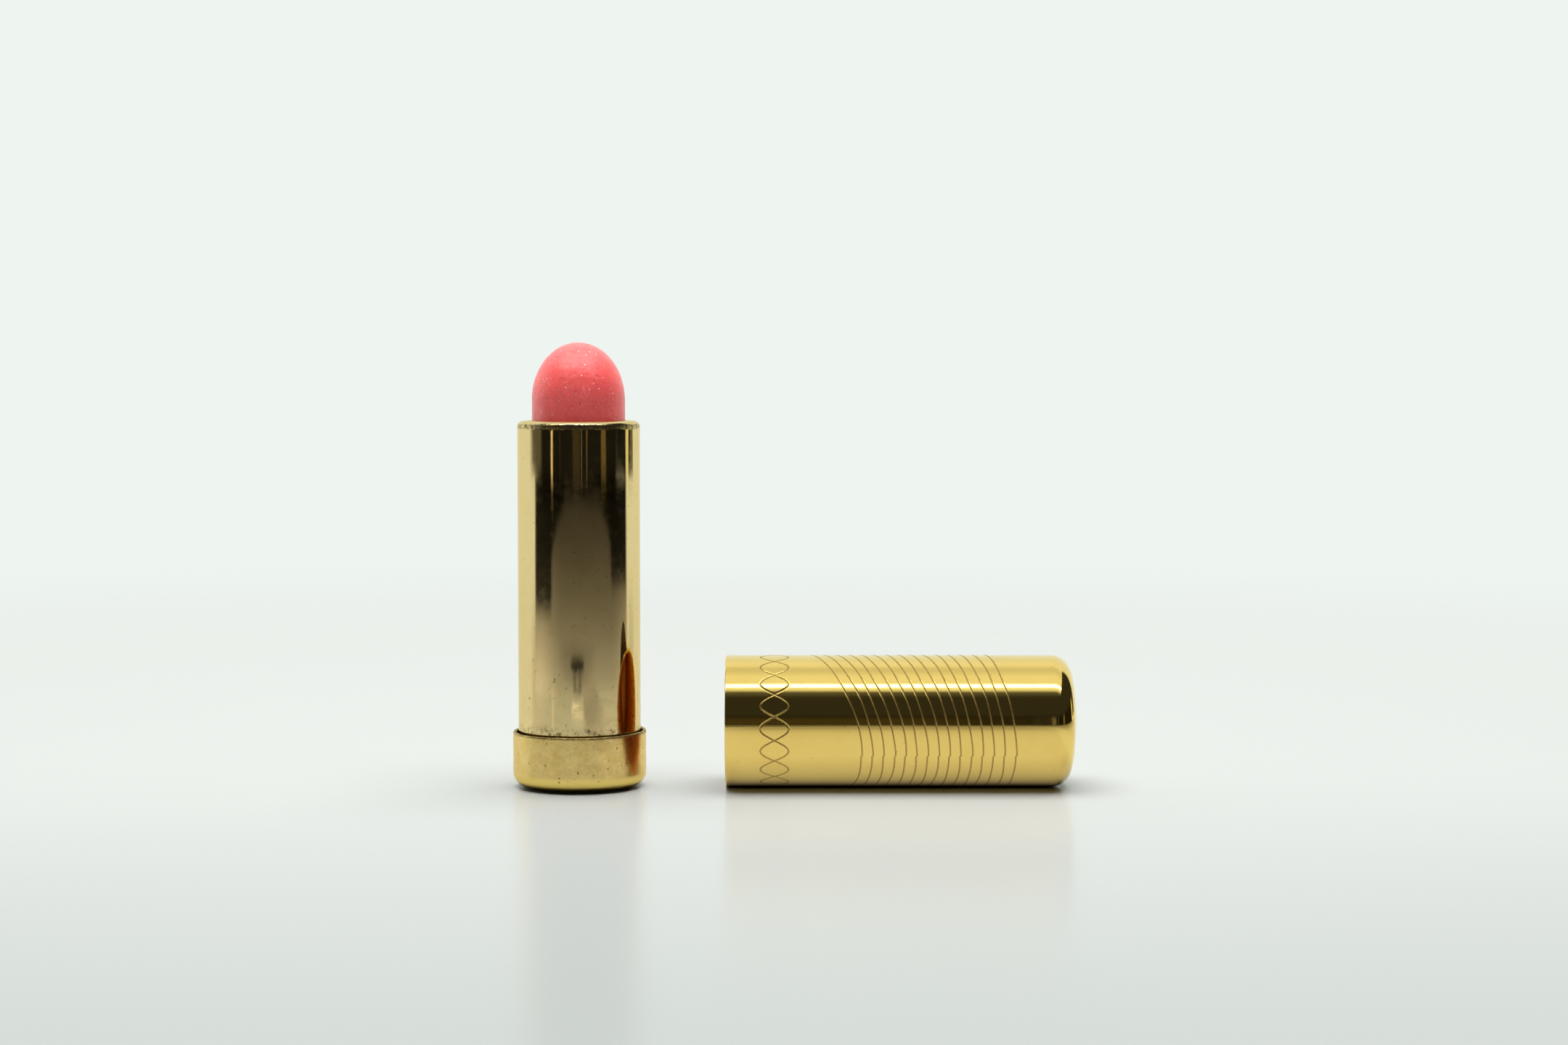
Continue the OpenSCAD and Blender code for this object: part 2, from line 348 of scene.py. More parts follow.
def barrel_brass():
    """Polished brass with a dull, stained lower end, and a chattered line under the rolled rim that is
    darkened with painted shade.
    """
    g = Graph("barrel_brass", **{"Metallic": 1.0, "Specular Tint": PALE_EDGE})
    height = g.axis("Z")
    lip, rim = CUP_HIGH.z, BARREL_HIGH.z
    low_end = g.ramp(height, lip + 0.6, lip + 11.1, 1.0, 0.0)
    cloud = g.ramp(g.noise(0.45, 5.0, 0.62), 0.42, 0.72)
    haze = g.times(low_end, g.ramp(g.noise(0.9, 5.0, 0.65), 0.38, 0.7, 0.15, 1.0))
    near_lip = g.ramp(height, lip - 0.3, lip + 1.7, 1.0, 0.0)
    crust_and_rim_shade = g.times(near_lip, g.ramp(g.noise(1.6, 5.0, 0.7), 0.46, 0.62), 0.75)
    # Painted shade: a dark, uneven band under the rolled rim, added to the real crust at the lip.
    under_rim = g.band(height, rim - 1.25, rim - 0.95, rim - 0.55, rim - 0.35)
    rim_shade_noise = g.ramp(g.noise(2.2, 4.0, 0.75, g.stretch((1.0, 1.0, 0.7))), 0.44, 0.58)
    crust_and_rim_shade = g.most(crust_and_rim_shade, g.times(under_rim, rim_shade_noise, 0.8))
    fewer_above = g.ramp(height, lip + 1.1, lip + 14.1, 1.0, 0.25)
    specks = g.times(g.spots(0.85, 0.10, 0.18, patches=(0.42, 0.46, 0.54)), fewer_above)
    marks = g.most(
        g.scratches(0.55, (0.0, 0.0, 0.0), 0.56, 0.03),
        g.scratches(0.6, (0.35, 0.25, 0.0), 0.60, 0.07),
        g.scratches(0.5, (-0.5, 0.15, 0.0), 0.61, 0.08),
    )
    tint = g.mix(g.times(cloud, 0.6), rgba(0.82, 0.645, 0.315), rgba(0.78, 0.60, 0.275))
    tint = g.mix(g.times(haze, 0.5), tint, rgba(0.70, 0.55, 0.25))
    tint = g.mix(crust_and_rim_shade, tint, DARK_STAIN)
    tint = g.mix(g.times(specks, 0.85), tint, rgba(0.11, 0.07, 0.03))
    g.set("Base Color", g.mix(g.times(marks, 0.5), tint, rgba(0.93, 0.84, 0.58)))
    rough = g.ramp(g.noise(0.8, 5.0, 0.65), 0.35, 0.8, 0.045, 0.10)
    for mask, rise in ((haze, 0.10), (marks, 0.22), (crust_and_rim_shade, 0.3)):
        rough = g.math("ADD", rough, g.times(mask, rise))
    g.set("Roughness", rough)
    g.bump(g.noise(0.16, 1.5, 0.4, g.stretch((1.0, 1.0, 0.35))), 0.35, 0.10)
    g.bump(g.noise(2.4, 3.0, 0.6, g.stretch((1.0, 1.0, 0.06))), 0.12, 0.012)
    g.bump(g.math("ADD", specks, crust_and_rim_shade), -0.5, 0.03)
    ripple = g.math("SUBTRACT", g.noise(2.0, 4.0, 0.7, g.stretch((1.0, 1.0, 0.6))), 0.5)
    g.bump(g.times(under_rim, ripple), 0.9, 0.10)
    return g.material


def base_brass():
    """Handled, satin brass with a darkened lip, a bottom corner brightened with a painted reflection of the
    floor, and painted shade under it.
    """
    g = Graph("base_brass", **{"Metallic": 1.0, "Specular Tint": PALE_EDGE})
    height = g.axis("Z")
    top = CUP_HIGH.z
    cloud = g.ramp(g.noise(0.55, 6.0, 0.66), 0.36, 0.68)
    grain = g.ramp(g.noise(2.6, 5.0, 0.7), 0.35, 0.75)
    # Painted reflection: the bottom corner is lighter and yellower, as if it mirrored a bright floor.
    painted_foot_reflection = g.ramp(height, 1.2, 2.6, 1.0, 0.0)
    # Painted shade: the bottom of the cup is darkened where it meets the floor.
    painted_underside_shade = g.ramp(height, 0.35, 0.95, 1.0, 0.0)
    lip_wear = g.ramp(g.noise(1.3, 5.0, 0.7), 0.30, 0.58, 0.25, 1.0)
    lip = g.times(g.ramp(height, top - 0.65, top - 0.15), lip_wear)
    pits = g.spots(1.1, 0.10, 0.18, patches=(0.6, 0.45, 0.55), detail=2.0)
    marks = g.most(
        g.scratches(0.5, (0.5, 0.2, 0.0), 0.47, 0.10),
        g.scratches(0.45, (-0.3, 0.4, 0.0), 0.49, 0.12),
    )
    tint = g.mix(cloud, rgba(0.88, 0.66, 0.255), rgba(0.78, 0.565, 0.185))
    layers = (
        (grain, 0.4, rgba(0.62, 0.44, 0.16)),
        (painted_foot_reflection, 0.9, rgba(1.0, 0.76, 0.20)),
        (lip, 0.85, rgba(0.19, 0.15, 0.07)),
        (painted_underside_shade, 0.75, rgba(0.16, 0.10, 0.04)),
        (pits, 0.8, DARK_STAIN),
        (marks, 0.85, rgba(0.17, 0.12, 0.05)),
    )
    for mask, share, colour in layers:
        tint = g.mix(g.times(mask, share), tint, colour)
    g.set("Base Color", tint)
    rough = g.ramp(g.noise(1.5, 5.0, 0.7), 0.3, 0.75, 0.16, 0.30)
    rough = g.math("ADD", rough, g.times(painted_foot_reflection, -0.06))
    g.set("Roughness", g.math("ADD", rough, g.times(lip, 0.2)))
    g.bump(g.noise(0.3, 3.0, 0.5), 0.5, 0.10)
    g.bump(g.noise(5.0, 3.0, 0.6), 0.25, 0.012)
    g.bump(g.math("ADD", pits, marks), -0.6, 0.035)
    return g.material


def cap_brass():
    """Yellower lacquered brass, less worn than the case."""
    g = Graph("cap_brass", **{"Metallic": 1.0, "Coat Weight": 0.35, "Coat Roughness": 0.04})
    cloud = g.ramp(g.noise(0.25, 4.0, 0.6), 0.4, 0.75)
    tint = g.mix(g.times(cloud, 0.5), rgba(0.93, 0.68, 0.18), rgba(0.88, 0.625, 0.15))
    specks = g.spots(0.9, 0.05, 0.09, patches=(0.35, 0.53, 0.6))
    marks = g.most(
        g.scratches(0.5, (0.0, 1.35, 0.2), 0.58, 0.03),
        g.scratches(0.55, (0.5, 0.7, 0.0), 0.61, 0.06),
    )
    tint = g.mix(g.times(specks, 0.7), tint, rgba(0.20, 0.12, 0.03))
    g.set("Base Color", g.mix(g.times(marks, 0.45), tint, rgba(0.98, 0.86, 0.50)))
    rough = g.ramp(g.noise(0.7, 5.0, 0.65), 0.35, 0.8, 0.05, 0.09)
    g.set("Roughness", g.math("ADD", rough, g.times(marks, 0.2)))
    g.bump(g.noise(0.12, 1.5, 0.4, g.stretch((0.4, 1.0, 1.0))), 0.30, 0.10)
    g.bump(g.noise(2.2, 3.0, 0.6, g.stretch((0.06, 1.0, 1.0))), 0.10, 0.012)
    return g.material


def engraved_brass():
    """Torn, dull brass inside the engraved lines."""
    g = Graph("engraved_brass", Metallic=1.0)
    g.set("Base Color", g.mix(g.noise(3.0, 4.0, 0.7), rgba(0.62, 0.43, 0.13), rgba(0.42, 0.27, 0.07)))
    g.set("Roughness", g.ramp(g.noise(4.0, 3.0), 0.3, 0.7, 0.34, 0.5))
    g.bump(g.noise(6.0, 3.0, 0.6), 0.4, 0.03)
    return g.material


def liner_lacquer():
    """Amber lacquer with streaks along the cap."""
    g = Graph("liner_lacquer", **{"Metallic": 0.4, "Coat Weight": 0.5, "Coat Roughness": 0.08})
    streaks = g.noise(1.2, 4.0, 0.6, g.stretch((0.08, 1.0, 1.0)))
    g.set("Base Color", g.mix(g.ramp(streaks, 0.3, 0.7), rgba(0.92, 0.36, 0.008), rgba(0.64, 0.24, 0.005)))
    g.set("Roughness", g.ramp(g.noise(1.0, 4.0), 0.3, 0.7, 0.22, 0.34))
    g.bump(streaks, 0.3, 0.02)
    return g.material


def lipstick_wax():
    """Coral wax with painted glints on its fine shimmer, and small pits and creases darkened with painted
    shade.
    """
    g = Graph(
        "lipstick_wax",
        **{
            "Subsurface Weight": 0.35,
            "Subsurface Scale": 0.8 * MM,
            "Subsurface Radius": (1.0, 0.30, 0.22),
            "Specular IOR Level": 0.9,
            "Sheen Weight": 0.06,
            "Sheen Roughness": 0.4,
        },
    )
    cloud = g.ramp(g.noise(0.5, 5.0, 0.6), 0.35, 0.7)
    tint = g.mix(cloud, rgba(0.90, 0.108, 0.106), rgba(0.84, 0.082, 0.088))
    grain = g.ramp(g.noise(3.2, 4.0, 0.7), 0.35, 0.7)
    tint = g.mix(g.times(grain, 0.35), tint, rgba(0.99, 0.21, 0.195))
    # Painted glints: pale specks in the colour, standing for the shimmer catching the light.
    glints = g.most(
        g.spots(1.55, 0.10, 0.21, patches=(1.3, 0.50, 0.56)),
        g.spots(3.1, 0.10, 0.19, patches=(0.9, 0.50, 0.56)),
    )
    pits = g.spots(0.9, 0.08, 0.14, patches=(0.7, 0.50, 0.56))
    creases = g.most(
        g.scratches(0.42, (1.2, 0.5, 0.0), 0.53, 0.16),
        g.scratches(0.5, (1.35, -0.4, 0.0), 0.56, 0.14),
    )
    # Painted shade: the pits and creases are darkened.
    tint = g.mix(g.most(g.times(pits, 0.8), g.times(creases, 0.35)), tint, rgba(0.36, 0.03, 0.035))
    g.set("Base Color", g.mix(g.times(glints, 0.8), tint, rgba(1.0, 0.72, 0.66)))
    rough = g.ramp(g.noise(1.2, 5.0, 0.65), 0.3, 0.75, 0.31, 0.47)
    g.set("Roughness", g.math("ADD", rough, g.times(glints, -0.22)))
    g.bump(g.noise(1.1, 4.0, 0.6), 0.5, 0.05)
    g.bump(g.noise(7.0, 3.0, 0.6), 0.30, 0.012)
    g.bump(g.noise(0.5, 3.0, 0.65), 0.6, 0.14)
    g.bump(glints, 0.4, 0.012)
    g.bump(g.most(pits, creases), -0.8, 0.05)
    return g.material


def plain_metal(name, tint, rough):
    """Inner metal parts: turned or drawn, with a little variation."""
    g = Graph(name, Metallic=1.0)
    g.set("Base Color", g.mix(g.noise(0.8, 4.0), rgba(*tint), rgba(*(0.8 * c for c in tint))))
    g.set("Roughness", g.ramp(g.noise(2.5, 4.0), 0.3, 0.7, rough, rough + 0.12))
    g.bump(g.noise(1.5, 3.0, 0.6, g.stretch((1.0, 1.0, 9.0))), 0.25, 0.01)
    return g.material


def plain_polymer(name, tint, rough, grain):
    """Inner plastic, rubber and paper parts."""
    g = Graph(name)
    g.set("Base Color", g.mix(g.noise(1.3, 4.0), rgba(*tint), rgba(*(0.86 * c for c in tint))))
    g.set("Roughness", g.ramp(g.noise(2.0, 4.0), 0.3, 0.7, rough, rough + 0.1))
    g.bump(g.noise(9.0, 3.0), grain, 0.01)
    return g.material


# ---------------------------------------------------------------- pieces


def make_base_cup():
    """Drawn cup with a round bottom corner and a full round on its lip."""
    bottom, top = CUP_LOW.z, CUP_HIGH.z
    corner_r, corner_z = CUP_R - CUP_CORNER_R, bottom + CUP_CORNER_R
    lip_r = SHELL_T / 2
    lip_z = top - lip_r
    inner_r = CUP_R - SHELL_T
    rows = [(0, bottom)]
    rows += line(0, bottom, corner_r, bottom, 24)
    rows += arc(corner_r, corner_z, CUP_CORNER_R, -90, 0, 20)
    rows += line(CUP_R, corner_z, CUP_R, lip_z, 48)
    rows += arc(CUP_R - lip_r, lip_z, lip_r, 0, 180, 12)
    rows += line(inner_r, lip_z, inner_r, corner_z, 12)
    rows += arc(corner_r, corner_z, CUP_CORNER_R - SHELL_T, 0, -90, 10)
    rows += [(0, bottom + SHELL_T)]
    cup = revolve("base_cup_skin", rows, 360)
    lip_tilt, lip_waves, lip_wear, wall_dents = 0.10, 0.03, 0.03, 0.012

    def dent(x, y, z):
        """The lip is a little uneven, and the wall is very slightly dented."""
        share = max(0.0, (z - corner_z) / (lip_z - corner_z))
        angle = math.atan2(y, x)
        sag = lip_tilt * (1 - math.cos(angle - 0.15)) / 2 + lip_waves * (1 + math.sin(5 * angle + 1.0)) / 2
        sag += lip_wear * (1 + noise.noise(Vector((x, y, 7.0)) * 0.6))
        dip = wall_dents * share * (1 + noise.noise(Vector((x, y, z)) * 0.35))
        shrink = 1 - dip / CUP_R
        return x * shrink, y * shrink, z - sag * share ** 4

    reshape(cup, dent)
    settle(cup)
    dress(cup, "base", "base_cup", base_brass())


def make_barrel():
    """Drawn barrel with its top edge rolled inwards."""
    bottom, top = BARREL_LOW.z, BARREL_HIGH.z
    step_z = CUP_HIGH.z - BARREL_STEP_DROP
    outer_r, inner_r, stepped_r = BARREL_R, BARREL_R - SHELL_T, BARREL_R - BARREL_STEP
    rim_centre, rim_z = BARREL_R - RIM_R, top - RIM_R
    mouth_r, leg_r = rim_centre - RIM_R, rim_centre - RIM_R + SHELL_T
    rows = [(inner_r, bottom), (stepped_r, bottom), (stepped_r, step_z - BARREL_STEP_DROP), (outer_r, step_z)]
    rows += line(outer_r, step_z, outer_r, rim_z, 160)
    rows += arc(rim_centre, rim_z, RIM_R, 0, 180, 28)
    rows += [(mouth_r, rim_z - RIM_LEG), (leg_r, rim_z - RIM_LEG)]
    rows += arc(rim_centre, rim_z, RIM_R - SHELL_T, 180, 0, 14)
    barrel = revolve("barrel_skin", rows, 480, closed=True)
    wall_dip, rim_dip, rim_band = 0.008, 0.018, 1.6

    def dent(x, y, z):
        """Faint waves in the drawn wall, deepest under the rim."""
        radius = math.hypot(x, y)
        if radius < leg_r or z < step_z:
            return x, y, z
        dip = wall_dip * (1 + noise.noise(Vector((x, y, 0.35 * z)) * 0.16))
        edge = max(0.0, 1 - abs(z - (rim_z + 0.2)) / rim_band)
        dip += rim_dip * edge * (1 + noise.noise(Vector((x, y, 2.0 * z)) * 0.9))
        shrink = 1 - dip / radius
        return x * shrink, y * shrink, z

    reshape(barrel, dent)
    settle(barrel)
    dress(barrel, "barrel", "barrel_shell", barrel_brass())


def make_lipstick():
    """Moulded stick with an elliptical tip, slightly worn and pitted."""
    bottom, top = STICK_LOW.z, STICK_HIGH.z
    tip_z = top - TIP_H
    fresh_z = BARREL_HIGH.z - 2  # below this the stick is unworn
    rows = [(0, bottom), (0.6 * STICK_R, bottom), (STICK_R, bottom)]
    rows += line(STICK_R, bottom, STICK_R, fresh_z, 24)
    rows += line(STICK_R, fresh_z, STICK_R, tip_z, 40)
    tilt = np.radians(np.linspace(0, 89, 150))
    rows += [(STICK_R * math.cos(a), tip_z + TIP_H * math.sin(a)) for a in tilt]
    rows += [(0, top)]
    stick = revolve("lipstick_skin", rows, 420)
    broad_dip, fine_dip, hollow_dip, hollow_r = 0.05, 0.018, 0.07, 0.13

    def wear(x, y, z):
        """Shallow facets and small hollows, all inwards."""
        p = Vector((x, y, z))
        share = min(1.0, max(0.0, (z - fresh_z) / 3))
        broad = broad_dip * (1 + noise.noise(p * 0.28)) / 2
        fine = fine_dip * (1 + noise.noise(p * 1.4)) / 2
        distance = noise.voronoi(p * 0.55)[0][0]
        hollow = hollow_dip * max(0.0, 1 - (distance / hollow_r) ** 2)
        has_hollows = noise.noise(p * 0.3 + Vector((9, 2, 5))) > 0.05
        radius = max(1.0, math.hypot(x, y))
        out = Vector((x / radius, y / radius, max(0.0, z - tip_z) / TIP_H))
        moved = p - out * share * (broad + fine + (hollow if has_hollows else 0.0))
        return moved.x, moved.y, moved.z

    reshape(stick, wear)
    settle(stick)
    dress(stick, "carrier", "lipstick", lipstick_wax())


def cap_outline(inset, start, steps):
    """The closed end of the cap, this far inside its outer face: from start on the side wall to the pole."""
    corner_path = CAP_R - CAP_CORNER_R
    dome_z = CAP_L - DOME_R
    corner_z = dome_z + math.sqrt((DOME_R - CAP_CORNER_R) ** 2 - corner_path ** 2)
    meet = math.degrees(math.atan2(corner_z - dome_z, corner_path))
    rows = [(CAP_R - inset, corner_z + (start - corner_z) * k / 6) for k in range(6, 0, -1)]
    rows += arc(corner_path, corner_z, CAP_CORNER_R - inset, 0, meet, steps)
    rows += arc(0, dome_z, DOME_R - inset, meet, 90, steps)[1:-1]
    rows += [(0, dome_z + DOME_R - inset)]
    return rows


def groove(centre, width, depth):
    """Rows across an engraved line that runs along centre, a height for each column, and which are cut."""
    half = width / 2
    edge = half + 0.03
    steps = [(-edge, 0.0), (-half, 0.0), (-half / 2, 0.75), (0.0, 1.0)]
    steps += [(half / 2, 0.75), (half, 0.0), (edge, 0.0)]
    rows = [(CAP_R - depth * share, centre + offset) for offset, share in steps]
    return rows, [np.full(len(centre), share > 0) for _, share in steps]


def lay_cap():
    """From the cap's own upright frame to where it lies."""
    return Matrix.Translation((CAP_LOW.x, 0, CAP_R)) @ Matrix.Rotation(math.radians(90), 4, "Y")


def wave_band(around):
    """Rows of a band with two interlaced waves cut in it, and for each row where it is cut."""
    low, high = WAVE_MIDDLE - WAVE_HALF_H - WAVE_MARGIN, WAVE_MIDDLE + WAVE_HALF_H + WAVE_MARGIN
    heights = np.linspace(low, high, round((high - low) / WAVE_ROW_H) + 1)
    steep = WAVE_HALF_H * WAVE_COUNT / CAP_R
    rows, cuts = [], []
    for height in heights:
        nearest = np.full(len(around), np.inf)
        for phase in (0.0, math.pi):
            gap = height - WAVE_MIDDLE - WAVE_HALF_H * np.sin(WAVE_COUNT * around + phase)
            slope = steep * np.cos(WAVE_COUNT * around + phase)
            nearest = np.minimum(nearest, np.abs(gap) / np.sqrt(1 + slope ** 2))
        cut = np.clip(1 - (nearest / (WAVE_W / 2)) ** 2, 0, 1)
        rows.append((CAP_R - RING_DEPTH * cut, height))
        cuts.append(cut > 0.05)
    return rows, cuts


def ring_height(i, around):
    """How far from the mouth ring i runs, for each angle. It is slanted, cut by hand and not quite closed."""
    share = i / (RING_COUNT - 1)
    sway = FIRST_SWAY + (LAST_SWAY - FIRST_SWAY) * share
    crest = FIRST_CREST + (LAST_CREST - FIRST_CREST) * share
    past_join = ((around - RING_JOIN_TURN) % (2 * math.pi)) / (2 * math.pi) - 0.5
    wobble = 0.04 * np.sin(3 * around + 1.7 * i) + 0.03 * np.sin(7 * around + 2.9 * i)
    return crest - sway * (1 - np.cos(around - CREST_TURN)) + RING_JOIN_STEP * past_join + wobble


def make_cap():
    """Cap with slanted engraved rings and a band of engraved waves near its mouth."""
    around = np.arange(CAP_COLUMNS) * 2 * math.pi / CAP_COLUMNS
    plain = np.zeros(CAP_COLUMNS, bool)
    bore_r = CAP_R - CAP_T
    rows = list(reversed(cap_outline(CAP_T, BORE_STRAIGHT, 10)))
    rows += [(bore_r, z) for z in (12.0, 5.0, 1.0, MOUTH_BEVEL)]
    rows += [(bore_r + MOUTH_BEVEL, 0.0)]
    rows += [(CAP_R - inset, z) for inset, z in MOUTH_ROUND]
    cuts = [plain] * len(rows)
    engraving = [wave_band(around)]
    engraving += [groove(ring_height(i, around), RING_W, RING_DEPTH) for i in range(RING_COUNT)]
    for engraved_rows, engraved_cuts in engraving:
        rows += engraved_rows
        cuts += engraved_cuts
    past_rings = LAST_CREST + 0.9
    rows += cap_outline(0, past_rings, 24)
    cuts += [plain] * (len(rows) - len(cuts))
    cap = revolve("cap_skin", rows, CAP_COLUMNS)
    settle(cap, lay_cap())
    dress(cap, "cap", "cap_shell", cap_brass())
    cap.data.materials.append(engraved_brass())
    marks = np.concatenate([below | above for below, above in zip(cuts, cuts[1:])])
    cap.data.polygons.foreach_set("material_index", marks.astype(np.int32))
    cap.data.update()


def make_liner():
    """Lacquered liner, set back from the cap's mouth."""
    outer_r, inner_r = CAP_R - LINER_INSET, CAP_R - LINER_INSET - LINER_T
    rows = list(reversed(cap_outline(LINER_INSET + LINER_T, LINER_STRAIGHT, 12)))
    rows += line(inner_r, LINER_STRAIGHT, inner_r, LINER_SETBACK, 12)
    rows += [(inner_r, LINER_SETBACK + LINER_BEVEL), (inner_r + LINER_BEVEL, LINER_SETBACK)]
    rows += [(outer_r - LINER_BEVEL, LINER_SETBACK), (outer_r, LINER_SETBACK + LINER_BEVEL)]
    rows += cap_outline(LINER_INSET, LINER_STRAIGHT, 12)
    liner = revolve("cap_liner_skin", rows, 300)
    settle(liner, lay_cap())
    dress(liner, "cap", "cap_liner", liner_lacquer())


def dress_inner_parts():
    """Procedural materials for the CAD parts that show only when the case is apart or wound out."""
    looks = {
        "shade_label": plain_polymer("label_paper", (0.80, 0.74, 0.60), 0.7, 0.5),
        "base_weight": plain_metal("weight_steel", (0.50, 0.50, 0.51), 0.3),
        "base_plug": plain_polymer("plug_plastic", (0.80, 0.77, 0.69), 0.45, 0.1),
        "slotted_tube": plain_metal("tube_metal", (0.72, 0.72, 0.74), 0.22),
        "thrust_washer": plain_polymer("washer_plastic", (0.86, 0.86, 0.83), 0.4, 0.1),
        "friction_ring": plain_polymer("ring_rubber", (0.03, 0.03, 0.03), 0.5, 0.2),
        "stop_ring": plain_metal("stop_steel", (0.56, 0.56, 0.57), 0.2),
        "cam_sleeve": plain_metal("cam_brass", (0.66, 0.49, 0.22), 0.28),
        "product_cup": plain_metal("cup_brass", (0.78, 0.62, 0.32), 0.16),
        "cup_pin_left": plain_metal("pin_steel_left", (0.58, 0.58, 0.60), 0.2),
        "cup_pin_right": plain_metal("pin_steel_right", (0.58, 0.58, 0.60), 0.2),
    }
    for node, material in looks.items():
        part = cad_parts[node]
        part.data.materials.clear()
        part.data.materials.append(material)


# ---------------------------------------------------------------- studio

# Cards that only reflections see stand in for the room that the brass mirrors. Places are in millimetres,
# headings in degrees round the case from straight in front of it, and depths run forwards from it.

PALE = rgba(0.855, 0.905, 0.868)  # the background
FLOOR_R = 500.0
FLOOR_FADE = (130.0, 470.0)  # distances between which the floor turns into background
CEILING_Z = 800.0
STRIP_BAND = (-362.0, -336.0, -252.0, -228.0)  # the ceiling's bright strip, along Y
STRIP_GLOW = 4.3

ROOM_R = 1200.0
ROOM_H = 1900.0
ROOM_FIRST, ROOM_LAST = -102.0, 130.0  # headings of the screen's ends
ROOM_STREAKS = (  # heading, half width, colour
    (-47.0, 2.6, (0.90, 0.74, 0.41)),
    (0.0, 9.0, (0.050, 0.040, 0.020)),
    (9.5, 0.9, (0.16, 0.15, 0.12)),
    (19.0, 1.4, (0.15, 0.10, 0.055)),
    (51.0, 6.5, (0.15, 0.115, 0.045)),
    (-31.0, 1.2, (0.035, 0.03, 0.02)),
    (80.0, 4.0, (0.024, 0.020, 0.014)),
    (107.0, 5.5, (0.86, 0.78, 0.46)),
    (120.0, 6.0, (0.12, 0.12, 0.055)),
)

TABLE_Z = 0.4  # just over the floor
SPOT_DEPTH, SPOT_HALF_W, SPOT_HALF_D = 174.0, 42.0, 17.0
STEM_BAND = (112.0, 120.0, 146.0, 156.0)  # depths where each band starts, is full, starts to fade and ends
CORE_BAND = (132.0, 142.0, 150.0, 160.0)
PATCH_BAND = (84.0, 94.0, 108.0, 116.0)


def stage_piece(name, points, faces, material, seen_by=()):
    """A stage mesh. seen_by names the rays that it is there for; none means all of them."""
    mesh = bpy.data.meshes.new(name)
    mesh.from_pydata([tuple(c * MM for c in p) for p in points], [], faces)
    mesh.materials.append(material)
    mesh.update()
    piece = bpy.data.objects.new(name, mesh)
    bpy.context.scene.collection.objects.link(piece)
    if seen_by:
        for ray in ("camera", "diffuse", "glossy", "transmission", "volume_scatter", "shadow"):
            setattr(piece, "visible_" + ray, ray in seen_by)
    return piece


def card_corners(side, front, back, z):
    """Corners of a level card, round from its front left."""
    return [(-side, front, z), (side, front, z), (side, back, z), (-side, back, z)]


def glow_material(name, paint):
    """An emitting stage material, clear from behind. paint(graph) gives its colour, strength and cover."""
    g = Graph(name)
    colour, strength, cover = paint(g)
    tree = g.tree
    tree.nodes.remove(g.surface)
    glow = g.put("ShaderNodeEmission", {"Color": colour, "Strength": strength}).outputs[0]
    clear = g.put("ShaderNodeBsdfTransparent").outputs[0]
    front = g.math("SUBTRACT", 1.0, g.put("ShaderNodeNewGeometry").outputs["Backfacing"])
    blend = g.put("ShaderNodeMixShader", {0: g.times(front, cover), 1: clear, 2: glow}).outputs[0]
    tree.links.new(blend, tree.nodes["Material Output"].inputs["Surface"])
    return g.material


def floor_material():
    """Pale sheet with a soft sheen and painted shade darkening it in front of the case, which melts into the
    background away from the case.
    """
    g = Graph("floor", **{"Roughness": 0.20, "Specular IOR Level": 0.022})
    # Painted shade: the floor's colour is darker in a band in front of the case.
    front = g.band(g.axis("Y"), -420.0, -190.0, -160.0, 20.0)
    g.set("Base Color", g.mix(front, rgba(0.365, 0.377, 0.370), rgba(0.300, 0.320, 0.316)))
    far = g.put("ShaderNodeEmission", {"Color": PALE, "Strength": 1.0}).outputs[0]
    fade = g.ramp(g.distance(), *FLOOR_FADE)
    blend = g.put("ShaderNodeMixShader", {0: fade, 1: g.surface.outputs[0], 2: far}).outputs[0]
    g.tree.links.new(blend, g.tree.nodes["Material Output"].inputs["Surface"])
    return g.material


def make_floor():
    """Round sheet under the case."""
    columns = 96
    turn = [2 * math.pi * k / columns for k in range(columns)]
    points = [(FLOOR_R * math.cos(a), FLOOR_R * math.sin(a), 0) for a in turn]
    stage_piece("floor", points, [tuple(range(columns))], floor_material())


def make_ceiling():
    """What the metal mirrors overhead: soft light, a bright strip in front of the case, then dark."""

    def paint(g):
        y = g.axis("Y")
        strip = g.band(y, *STRIP_BAND)
        over = g.math("ADD", g.ramp(y, -60.0, 210.0, 0.96, 0.75), g.ramp(y, 260.0, 440.0, 0.0, 0.20))
        front = g.ramp(y, -540.0, -400.0, 0.10, 1.0)
        strength = g.math("ADD", g.times(over, front), g.times(strip, STRIP_GLOW))
        return rgba(0.98, 1.0, 0.97), strength, 1.0

    points = card_corners(600, -600, 700, CEILING_Z)
    stage_piece("ceiling", points, [(3, 2, 1, 0)], glow_material("ceiling", paint), ("glossy",))


def area_light(name, watts, colour, place, turn=(0.0, 0.0, 0.0), **outline):
    """A soft lamp that lights surfaces and isn't mirrored or seen. It shines down before its turn."""
    data = bpy.data.lights.new(name, "AREA")
    for key, value in outline.items():
        setattr(data, key, value)
    data.energy, data.color = watts, colour
    light = bpy.data.objects.new(name, data)
    light.location = Vector(place) * MM
    light.rotation_euler = turn
    light.visible_glossy = False
    light.visible_camera = False
    bpy.context.scene.collection.objects.link(light)


def make_overhead_light():
    """Broad soft light that does the shading; the ceiling is what the metal mirrors."""
    outline = {"shape": "RECTANGLE", "size": 900 * MM, "size_y": 700 * MM}
    area_light("overhead", 16.0, (1.0, 0.985, 0.97), (20, 20, 820), **outline)


def make_mouth_light():
    """Small light at the cap's mouth that shines only into the cap, where the lining catches it."""
    into_cap = (0.0, math.radians(-90), 0.0)
    place = (CAP_LOW.x + 0.2, 0.0, CAP_R)
    area_light("mouth", 0.0005, (1.0, 0.98, 0.94), place, into_cap, shape="DISK", size=12 * MM)


